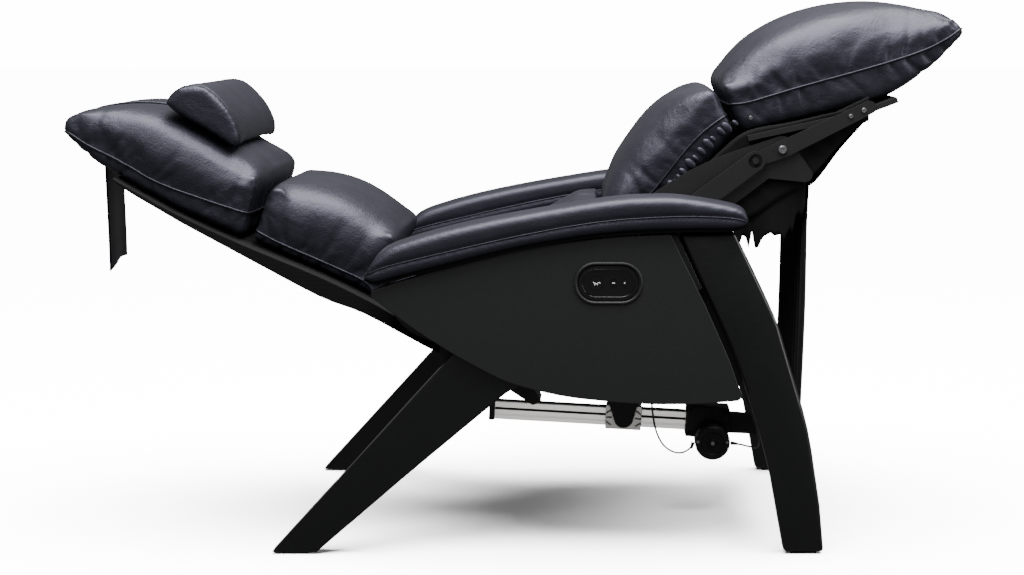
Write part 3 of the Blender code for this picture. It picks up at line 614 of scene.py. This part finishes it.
def armCoreShadeStrip(name, node):
    # The core of an arm pad, lined in black cloth: it shows only as the dark line over the side board, a dark
    # strip that paints the shadow in the gap under the pad.
    low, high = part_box(node)
    loop = cadSection(node)
    loop = loop - outwardOf(loop) * 0.0015
    bm = bmesh.new()
    # Lowered 4 mm so its black fills the gap down to the board and leg tops: painted shade.
    cap = bm.faces.new([bm.verts.new((x, low.y + 0.005, z)) for x, z in loop - np.array([0, 0.004])])
    made = bmesh.ops.extrude_face_region(bm, geom=[cap])["geom"]
    bmesh.ops.translate(bm, verts=[g for g in made if isinstance(g, bmesh.types.BMVert)],
                        vec=(0, high.y - low.y - 0.010, 0))
    return hang(sharpen(fromBmesh(name, bm, cloth), 60), "base")


for side in sides:
    armCoreShadeStrip(f"{side}ArmCoreShadeStrip", f"arm_pad_{side}")
print("boards and cases rounded")


def placeAll(bm, matrix):
    bmesh.ops.transform(bm, matrix=matrix, verts=bm.verts)


def faceTo(place, direction):
    return Matrix.Translation(place) @ Vector(direction).to_track_quat("Z", "Y").to_matrix().to_4x4()


def screwHead(name, place, direction, radius, body, material=zinc):
    # A low domed head, spun, with a hexagon socket sunk in its top.
    bm = bmesh.new()
    profile = [(0.52, 0.25), (0.52, 0.62), (0.80, 0.58), (0.96, 0.34), (1.0, 0.0)]
    line = [bm.verts.new((x * radius, 0, z * radius)) for x, z in profile]
    edges = [bm.edges.new(pair) for pair in zip(line, line[1:])]
    bmesh.ops.spin(bm, geom=line + edges, cent=(0, 0, 0), axis=(0, 0, 1), angle=math.tau, steps=24,
                   use_merge=True, use_duplicate=False)
    for ring in (0.25, 0.0):
        rim = [e for e in bm.edges if e.is_boundary and abs(e.verts[0].co.z - ring * radius) < 1e-6]
        bmesh.ops.contextual_create(bm, geom=rim)
    bmesh.ops.remove_doubles(bm, verts=bm.verts, dist=0.000001)
    placeAll(bm, faceTo(place, direction))
    return hang(sharpen(fromBmesh(name, bm, material), 30), body)


# Actuator: its line runs from the tail pivot towards the head end, rising a little.
railSet = {"tail": (0.525, 0.170), "tilt": 0.0576, "near": 0.1873, "far": 0.572, "width": 0.030,
           "height": 0.036, "slot": 0.008, "groove": 0.0032}
railTurn = Matrix.Rotation(railSet["tilt"], 4, "Y")
railFrame = Matrix.Translation((railSet["tail"][0], 0, railSet["tail"][1])) @ railTurn


def railPlace(distance, across, rise):
    # From lengths along, across and above the rail's line to the chair's own axes.
    return railFrame @ Vector((-distance, across, rise))


def railMatrix(distance, across=0.0, rise=0.0):
    return Matrix.Translation(railPlace(distance, across, rise)) @ railTurn


half, tall = railSet["width"] / 2, railSet["height"] / 2
slot, groove = railSet["slot"] / 2, railSet["groove"]
rightHalf = [(slot, tall), (slot, tall - 0.011), (0.0, tall - 0.011), (0.0, -tall + 0.006),
             (slot * 0.8, -tall + 0.006), (slot * 0.8, -tall), (half - 0.001, -tall),
             (half, -tall + 0.001), (half, -0.010),
             (half - 0.0012, -0.009), (half - 0.0012, -0.0075), (half, -0.0065), (half, 0.002),
             (half - groove, 0.003), (half - groove, 0.006), (half, 0.007), (half, tall - 0.001),
             (half - 0.001, tall)]
outer = rightHalf[4:] + rightHalf[:2]
profile = outer + [(-y, z) for y, z in outer[::-1]]
bm = bmesh.new()
line = [bm.verts.new((-railSet["near"], y, z)) for y, z in profile]
cap = bm.faces.new(line)
made = bmesh.ops.extrude_face_region(bm, geom=[cap])["geom"]
bmesh.ops.translate(bm, verts=[g for g in made if isinstance(g, bmesh.types.BMVert)],
                    vec=(railSet["near"] - railSet["far"], 0, 0))
placeAll(bm, railFrame)
rail = hang(sharpen(fromBmesh("railExtrusion", bm, aluminium), 20), "actuator")
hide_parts("actuator_rail")


def railBlock(name, distance, across, rise, size, material, body, edge=0.0008, spin=0.0):
    bm = bmesh.new()
    place = railMatrix(distance, across, rise) @ Matrix.Rotation(spin, 4, "Y") @ Matrix.Diagonal((*size, 1))
    bmesh.ops.create_cube(bm, size=1, matrix=place)
    bmesh.ops.bevel(bm, geom=bm.edges[:], offset=edge, offset_type="OFFSET", segments=2, profile=0.5,
                    affect="EDGES", material=-1)
    return hang(sharpen(fromBmesh(name, bm, material), 40), body)


railMiddle, railLength = (railSet["near"] + railSet["far"]) / 2, railSet["far"] - railSet["near"]
railBlock("railTopStrip", railMiddle, 0, tall + 0.0010, (railLength - 0.004, 0.0115, 0.0030), mouldedAbs,
          "actuator")
# Black strips filling the grooves along both sides of the rail: painted shade in the grooves.
for side, sign in sides.items():
    railBlock(f"{side}RailGrooveShade", railMiddle, sign * (half - 0.0008), 0.0040,
              (railLength - 0.001, 0.0024, 0.0044), mouldedAbs, "actuator", 0.0004)
slider = roundedCopy("trolleySlider", "trolley", 0.0016, nylon, "trolley", 2)
# The slider's ribs fan out from the drive arm's pivot, in lengths along the rail's line and above it.
ribSet = {"pivot": math.hypot(0.525 - 0.213, 0.188 - 0.170), "size": (0.013, 0.003, 0.0032),
          "ribs": [(-0.030, 0.012, 0.6), (-0.030, 0.0, 0.0), (-0.030, -0.012, -0.6),
                   (0.030, 0.012, -0.6), (0.030, 0.0, 0.0), (0.030, -0.012, 0.6)]}
for side, sign in sides.items():
    for i, (shift, rise, spin) in enumerate(ribSet["ribs"]):
        railBlock(f"{side}SliderRib{i + 1}", ribSet["pivot"] + shift, sign * 0.0225, rise, ribSet["size"],
                  nylon, "trolley", 0.0005, spin)

# Motor: a spun end cover with a stepped rim, cooling slots between ribs, and its three screws.
motorLow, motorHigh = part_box("motor")
motorSet = {"centre": ((motorLow.x + motorHigh.x) / 2, motorLow.y, (motorLow.z + motorHigh.z) / 2),
            "radius": 0.035, "ribs": 12}
bm = bmesh.new()
profile = [(0.0, 0.0042), (0.20, 0.0042), (0.24, 0.0024), (0.62, 0.0024), (0.66, 0.0040), (0.90, 0.0040),
           (0.96, 0.0024), (0.985, 0.0)]
line = [bm.verts.new((x * motorSet["radius"], 0, z)) for x, z in profile]
edges = [bm.edges.new(pair) for pair in zip(line, line[1:])]
bmesh.ops.spin(bm, geom=line + edges, cent=(0, 0, 0), axis=(0, 0, 1), angle=math.tau, steps=48,
               use_merge=True, use_duplicate=False)
bmesh.ops.remove_doubles(bm, verts=bm.verts, dist=0.000002)
bmesh.ops.contextual_create(bm, geom=[e for e in bm.edges if e.is_boundary])
placeAll(bm, faceTo(motorSet["centre"], (0, -1, 0)))
hang(sharpen(fromBmesh("motorEndCover", bm, mouldedAbs), 30), "actuator")
for i in range(motorSet["ribs"]):
    angle = math.tau * i / motorSet["ribs"] + 0.13
    bm = bmesh.new()
    bmesh.ops.create_cube(bm, size=1, matrix=Matrix.Diagonal((0.0100, 0.0022, 0.0028, 1)))
    bmesh.ops.bevel(bm, geom=bm.edges[:], offset=0.0005, offset_type="OFFSET", segments=1, profile=0.5,
                    affect="EDGES", material=-1)
    placeAll(bm, faceTo(motorSet["centre"], (0, -1, 0)) @ Matrix.Rotation(angle, 4, "Z")
             @ Matrix.Translation((0.0155, 0, 0.0026)))
    hang(sharpen(fromBmesh(f"motorRib{i + 1}", bm, mouldedAbs)), "actuator")
x, y, z = motorSet["centre"]
screwHead("motorScrewMiddle", (x, y - 0.0042, z), (0, -1, 0), 0.0042, "actuator")
screwHead("motorScrewHeadEnd", (x - 0.0290, y - 0.0036, z + 0.003), (0, -1, 0), 0.0032, "actuator")
screwHead("motorScrewFootEnd", (x + 0.0290, y - 0.0036, z + 0.002), (0, -1, 0), 0.0032, "actuator")
for i, (distance, rise) in enumerate([(0.108, 0.026), (0.179, 0.026), (0.179, -0.021)]):
    screwHead(f"housingScrew{i + 1}", railPlace(distance, -0.0281, rise), (0, -1, 0), 0.0030, "actuator",
              coatedSteel)
print("actuator detailed")

# Pivots and fixings on the steel arms, outside each of the two sides.
fixingSet = {"kneePin": ((0.504, 0.744), 0.2795, 0.0085, "cradle"),
             "armBoltOuter": ((0.654, 0.8165), 0.2771, 0.0052, "calf_rest"),
             "armBoltInner": ((0.630, 0.8055), 0.2771, 0.0046, "calf_rest"),
             "bracketBoltRear": ((-0.010, 0.425), 0.2681, 0.0070, "cradle"),
             "bracketBoltFront": ((0.330, 0.637), 0.2681, 0.0070, "cradle"),
             "coverStud": ((0.446, 0.802), 0.2595, 0.0042, "calf_rest")}
for side, sign in sides.items():
    for name, ((x, z), y, radius, body) in fixingSet.items():
        screwHead(f"{side}{name[0].upper()}{name[1:]}", (x, sign * y, z), (0, sign, 0), radius, body)

# Control pod: a bead round the recess, and printed marks that move with their buttons.
podLow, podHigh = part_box("control_bezel")
podX, podZ, podFace = (podLow.x + podHigh.x) / 2, (podLow.z + podHigh.z) / 2, podLow.y


def stadium(length, height, y, count=16):
    reach = (length - height) / 2
    arc = [math.pi * i / count - math.pi / 2 for i in range(count + 1)]
    right = [(podX + reach + height / 2 * math.cos(a), y, podZ + height / 2 * math.sin(a)) for a in arc]
    return right + [(2 * podX - px, py, 2 * podZ - pz) for px, py, pz in right]


surround = tube("podSurround", stadium(0.1200, 0.0720, podFace + 0.0012), 0.0034, laminate, True)
hang(surround, "base")
innerBead = tube("podInnerBead", stadium(0.0965, 0.0505, podFace + 0.0010), 0.0010, glossAbs, True)
hang(innerBead, "base")
buttonBody = {name: next(j["child"] for j in frame["joints"] if j["name"] == f"{name}_button")
              for name in ("recline", "down", "up")}
marks = {
    "recline": [[(-0.0062, 0.0022), (-0.0034, -0.0010), (0.0012, -0.0010), (0.0046, 0.0014)],
                [(-0.0020, -0.0012), (-0.0034, -0.0036)], [(0.0008, -0.0012), (0.0020, -0.0036)],
                [(0.0062, -0.0006), (0.0062, 0.0018)]],
    "down": [[(-0.0026, 0.0), (0.0026, 0.0)]],
    "up": [[(-0.0009, 0.0), (0.0009, 0.0)]],
}
for name, strokes in marks.items():
    low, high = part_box(f"button_{name}")
    cx, cz, cy = (low.x + high.x) / 2, (low.z + high.z) / 2, low.y
    for i, stroke in enumerate(strokes):
        line = [(cx + dx, cy + 0.0002, cz + dz) for dx, dz in stroke]
        mark = tube(f"{name}Mark{i + 1}", line, 0.0013 if name == "up" else 0.0009, whiteInk)
        hang(mark, buttonBody[name])
print("control pod marked")


def drapeGrid(name, across, along, shape, material, thickness):
    # A cloth panel: a square grid shaped by shape(u, v) and given its thickness.
    bm = bmesh.new()
    bmesh.ops.create_grid(bm, x_segments=across, y_segments=along, size=0.5)
    for vert in bm.verts:
        vert.co = shape(vert.co.x + 0.5, vert.co.y + 0.5)
    piece = fromBmesh(name, bm, material, outwards=False)
    wall = piece.modifiers.new("Cloth thickness", "SOLIDIFY")
    wall.thickness = thickness
    wall.offset = 0
    bakeModifiers(piece)
    piece.data.shade_smooth()
    return piece


def pathPoint(line, t):
    line = np.array(line, float)
    runs = np.concatenate([[0], np.cumsum(np.linalg.norm(np.diff(line, axis=0), axis=1))])
    return [float(np.interp(t * runs[-1], runs, line[:, k])) for k in range(line.shape[1])], runs[-1]


# Apron: polyester cloth hung from the bar under the knees, in slack upright folds.
apronSet = {"line": smoothLine([(0.5580, 0.702), (0.5515, 0.600), (0.5490, 0.450), (0.5450, 0.290),
                                (0.5440, 0.170)], 3),
            "half": 0.250, "folds": 9, "fold": 0.0035}


def apronShape(u, v):
    (px, pz), _ = pathPoint(apronSet["line"], v)
    wave = math.sin(u * math.tau * apronSet["folds"] + 1.5 * math.sin(3 * v))
    sway = apronSet["fold"] * wave * math.sin(math.pi * v) ** 0.5
    return Vector((px + sway, (u - 0.5) * 2 * apronSet["half"], pz))


apron = drapeGrid("apronCloth", 90, 34, apronShape, cloth, 0.0016)
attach(apron, "base")
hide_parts("front_apron")
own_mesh(apron)

# Under-cover: cloth pulled from the far end of the calf board, round the knee, to the seat pan.
coverSet = {"line": smoothLine([(0.668, 0.812), (0.655, 0.792), (0.610, 0.744), (0.566, 0.688), (0.545, 0.676),
                                (0.500, 0.648), (0.449, 0.612), (0.418, 0.600), (0.392, 0.640)], 4),
            "half": 0.2535}


def coverShape(u, v):
    (px, pz), _ = pathPoint(coverSet["line"], v)
    slack = 0.004 * math.sin(u * math.pi * 7 + 4 * v) * math.sin(math.pi * v)
    return Vector((px + slack * 0.6, (u - 0.5) * 2 * coverSet["half"], pz - abs(slack)))


cover = drapeGrid("underCover", 60, 40, coverShape, cloth, 0.0014)
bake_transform(cover)

# Side gussets close the corner between the calf board, the thigh cushion and the under-cover.
gussetTop = smoothLine([(0.664, 0.822), (0.600, 0.812), (0.520, 0.794), (0.440, 0.778), (0.392, 0.742),
                        (0.350, 0.700)], 4)
gussetFoot = smoothLine([(0.662, 0.806), (0.610, 0.750), (0.560, 0.692), (0.500, 0.652), (0.449, 0.618),
                         (0.400, 0.606)], 4)
for side, sign in sides.items():
    def gussetShape(u, v):
        (ax, az), _ = pathPoint(gussetTop, u)
        (bx, bz), _ = pathPoint(gussetFoot, u)
        pucker = 0.0028 * math.sin(u * 31 + 3 * v) * math.sin(math.pi * v)
        return Vector((ax + (bx - ax) * v, sign * (0.2578 - abs(pucker)), az + (bz - az) * v))

    gusset = drapeGrid(f"{side}Gusset", 48, 16, gussetShape, cloth, 0.0012)
    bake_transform(gusset)

    # A short hem hangs loose from the under-cover, with a frayed lower edge.
    teeth = np.random.default_rng(7).uniform(0.6, 1.0, 24)

    def hemShape(u, v):
        drop = 0.104 * float(np.interp(u * 23, range(24), teeth)) * (0.70 + 0.30 * math.sin(math.pi * u))
        return Vector((0.416 + 0.134 * u, sign * (0.2525 - 0.004 * math.sin(9 * u) * v),
                       0.634 + 0.050 * u - drop * v))

    hem = drapeGrid(f"{side}Hem", 46, 8, hemShape, cloth, 0.0010)
    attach(hem, "cradle")

    # A sewn tab of the same cloth under the calf rest.
    def tabShape(u, v):
        narrow = 0.5 + (u - 0.5) * (1 - 0.35 * v)
        return Vector((0.603 + 0.062 * narrow + 0.012 * v, sign * (0.2530 + 0.003 * v),
                       0.812 + 0.030 * narrow - 0.040 * v))

    tab = drapeGrid(f"{side}CalfTab", 12, 8, tabShape, cloth, 0.0012)
    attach(tab, "calf_rest")
print("cloth covers hung")

# Head strap: leather band from the pillow over the head cushion, round its end and under it.
strapLow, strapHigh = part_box("pillow_strap")
strapLine = smoothLine([(-0.640, 0.836), (-0.700, 0.832), (-0.742, 0.833), (-0.791, 0.8275), (-0.830, 0.811),
                        (-0.8395, 0.786), (-0.830, 0.762), (-0.815, 0.7435), (-0.804, 0.732)], 4)


def strapShape(u, v):
    (px, pz), _ = pathPoint(strapLine, v)
    place = Vector((px, strapLow.y + (strapHigh.y - strapLow.y) * u, pz))
    found, normal, _, _ = surfaces["headCushion"].find_nearest(place)
    return found + normal * 0.0018


strap = drapeGrid("pillowStrap", 14, 60, strapShape, tightLeather, 0.0024)
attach(strap, "cradle")
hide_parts("pillow_strap")
for side, u in (("right", 0.02), ("left", 0.98)):
    bead = tube(f"{side}StrapPiping", [strapShape(u, i / 50) for i in range(51)], 0.0021, pipingLeather)
    hang(bead, "cradle")

# Flap: the strap's free end, hanging plumb, with a slight curl and a slanted cut.
flapLow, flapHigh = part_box("pillow_flap")
flapX = (flapLow.x + flapHigh.x) / 2


def flapShape(u, v):
    length = (flapHigh.z - flapLow.z) * (1 - 0.07 * u - 0.03 * math.sin(math.pi * u))
    curl = 0.004 * math.sin(1.6 * v + 0.6) * v + 0.0025 * math.sin(math.tau * u) * v
    return Vector((flapX + curl - 0.002, flapLow.y + (flapHigh.y - flapLow.y) * u, flapHigh.z - length * v))


flap = drapeGrid("hangingFlap", 20, 30, flapShape, tightLeather, 0.0026)
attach(flap, "pillow_flap")
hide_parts("pillow_flap")
for side, u in (("right", 0.02), ("left", 0.98)):
    bead = tube(f"{side}FlapHem", [flapShape(u, i / 24) for i in range(25)], 0.0019, pipingLeather)
    hang(bead, "pillow_flap")
print("strap and flap made")

# Gathers: an elastic edge draws the boxing under the thigh cushion into small puffs.
gatherLine = smoothLine([(0.292, 0.664), (0.326, 0.706), (0.360, 0.745), (0.392, 0.777), (0.418, 0.792)], 4)
for side, sign in sides.items():
    bm = bmesh.new()
    for i in range(12):
        (px, pz), _ = pathPoint(gatherLine, i / 11 + 0.012 * math.sin(3.7 * i) * (0 < i < 11))
        heavy = 1 + 0.30 * math.sin(2.1 * i)
        place = (Matrix.Translation((px, sign * 0.2545, pz)) @ Matrix.Rotation(-0.85, 4, "Y")
                 @ Matrix.Diagonal((0.0062 * heavy, 0.0042, 0.0100 * heavy, 1)))
        bmesh.ops.create_icosphere(bm, subdivisions=3, radius=1, matrix=place)
    gathers = fromBmesh(f"{side}ThighGathers", bm, leather)
    hang(gathers, "cradle")
print("gathers made")


# CAD pieces whose shape is right keep it and take a finished material.
byMaterial = {"black_lacquered_wood": lacqueredPly, "charcoal_panel": laminate,
              "black_coated_steel": coatedSteel,
              "zinc_plated_steel": zinc, "anodised_aluminium": aluminium, "black_plastic": mouldedAbs,
              "grey_plastic": nylon, "black_cloth": cloth, "black_leather": tightLeather, "lead_sheath": sheath}
for node, shown in frame["nodes"].items():
    if not shown.hide_render:
        for cadSlot in shown.material_slots:
            cadSlot.material = byMaterial.get(cadSlot.material.name.split(".")[0], mouldedAbs)
for node in ("control_pod", "control_bezel", "button_recline", "button_down", "button_up"):
    frame["nodes"][node].material_slots[0].material = glossAbs
print("CAD pieces finished")

# Studio: a pale floor and surround, lit white by their own lamp; softboxes light the chair.
studioSet = {"floorSize": 80, "floorSun": 50.0, "white": 15.0, "ambient": 0.16, "overhead": (2.8, 3.0, 340),
             "front": (2.4, 1.6, 52), "footEnd": (1.0, 2.2, 45),
             "low": (2.4, 0.5, 34)}
floorMaterial = newMaterial("paintedStudioFloor", {
    "Base Color": toLinear("#f2f2f2"), "Roughness": 0.9, "Specular IOR Level": 0.1})[0]
bm = bmesh.new()
bmesh.ops.create_grid(bm, x_segments=2, y_segments=2, size=studioSet["floorSize"] / 2)
floor = fromBmesh("floor", bm, floorMaterial, smooth=False, outwards=False)
floor.visible_diffuse = floor.visible_glossy = False
floorOnly = bpy.data.collections.new("floorOnly")
floorOnly.objects.link(floor)


def addSoftbox(name, place, aim, width, depth, power):
    light = bpy.data.objects.new(name, bpy.data.lights.new(name, "AREA"))
    scene.collection.objects.link(light)
    light.data.shape, light.data.size, light.data.size_y, light.data.energy = "RECTANGLE", width, depth, power
    light.location = place
    light.rotation_euler = (Vector(aim) - Vector(place)).to_track_quat("-Z", "Y").to_euler()
    return light


addSoftbox("overhead", (0.1, -0.35, 3.1), (0.0, 0.0, 0.3), *studioSet["overhead"])
addSoftbox("front", (-0.9, -2.9, 2.8), (0.0, 0.0, 0.5), *studioSet["front"])
addSoftbox("footEnd", (3.1, -1.5, 1.5), (0.3, 0.0, 0.5), *studioSet["footEnd"])
railOnly = bpy.data.collections.new("railOnly")
for piece in (rail, slider):
    railOnly.objects.link(piece)
bounce = addSoftbox("floorBounce", (0.2, -2.4, 0.3), (0.2, 0.0, 0.2), *studioSet["low"])
bounce.light_linking.receiver_collection = railOnly
sun = bpy.data.objects.new("floorSun", bpy.data.lights.new("floorSun", "SUN"))
scene.collection.objects.link(sun)
sun.data.energy, sun.data.angle = studioSet["floorSun"], math.radians(75)
sun.light_linking.receiver_collection = floorOnly
world = bpy.data.worlds.new("surround")
world.use_nodes = True
worldTree = world.node_tree
seen = addNode(worldTree, "LightPath").outputs["Is Camera Ray"]
strength = addNode(worldTree, "MapRange", {"Value": seen, "To Min": studioSet["ambient"],
                                           "To Max": studioSet["white"]})
worldTree.nodes["Background"].inputs["Color"].default_value = toLinear("#ffffff")
worldTree.links.new(strength.outputs[0], worldTree.nodes["Background"].inputs["Strength"])
scene.world = world
print("studio lit")
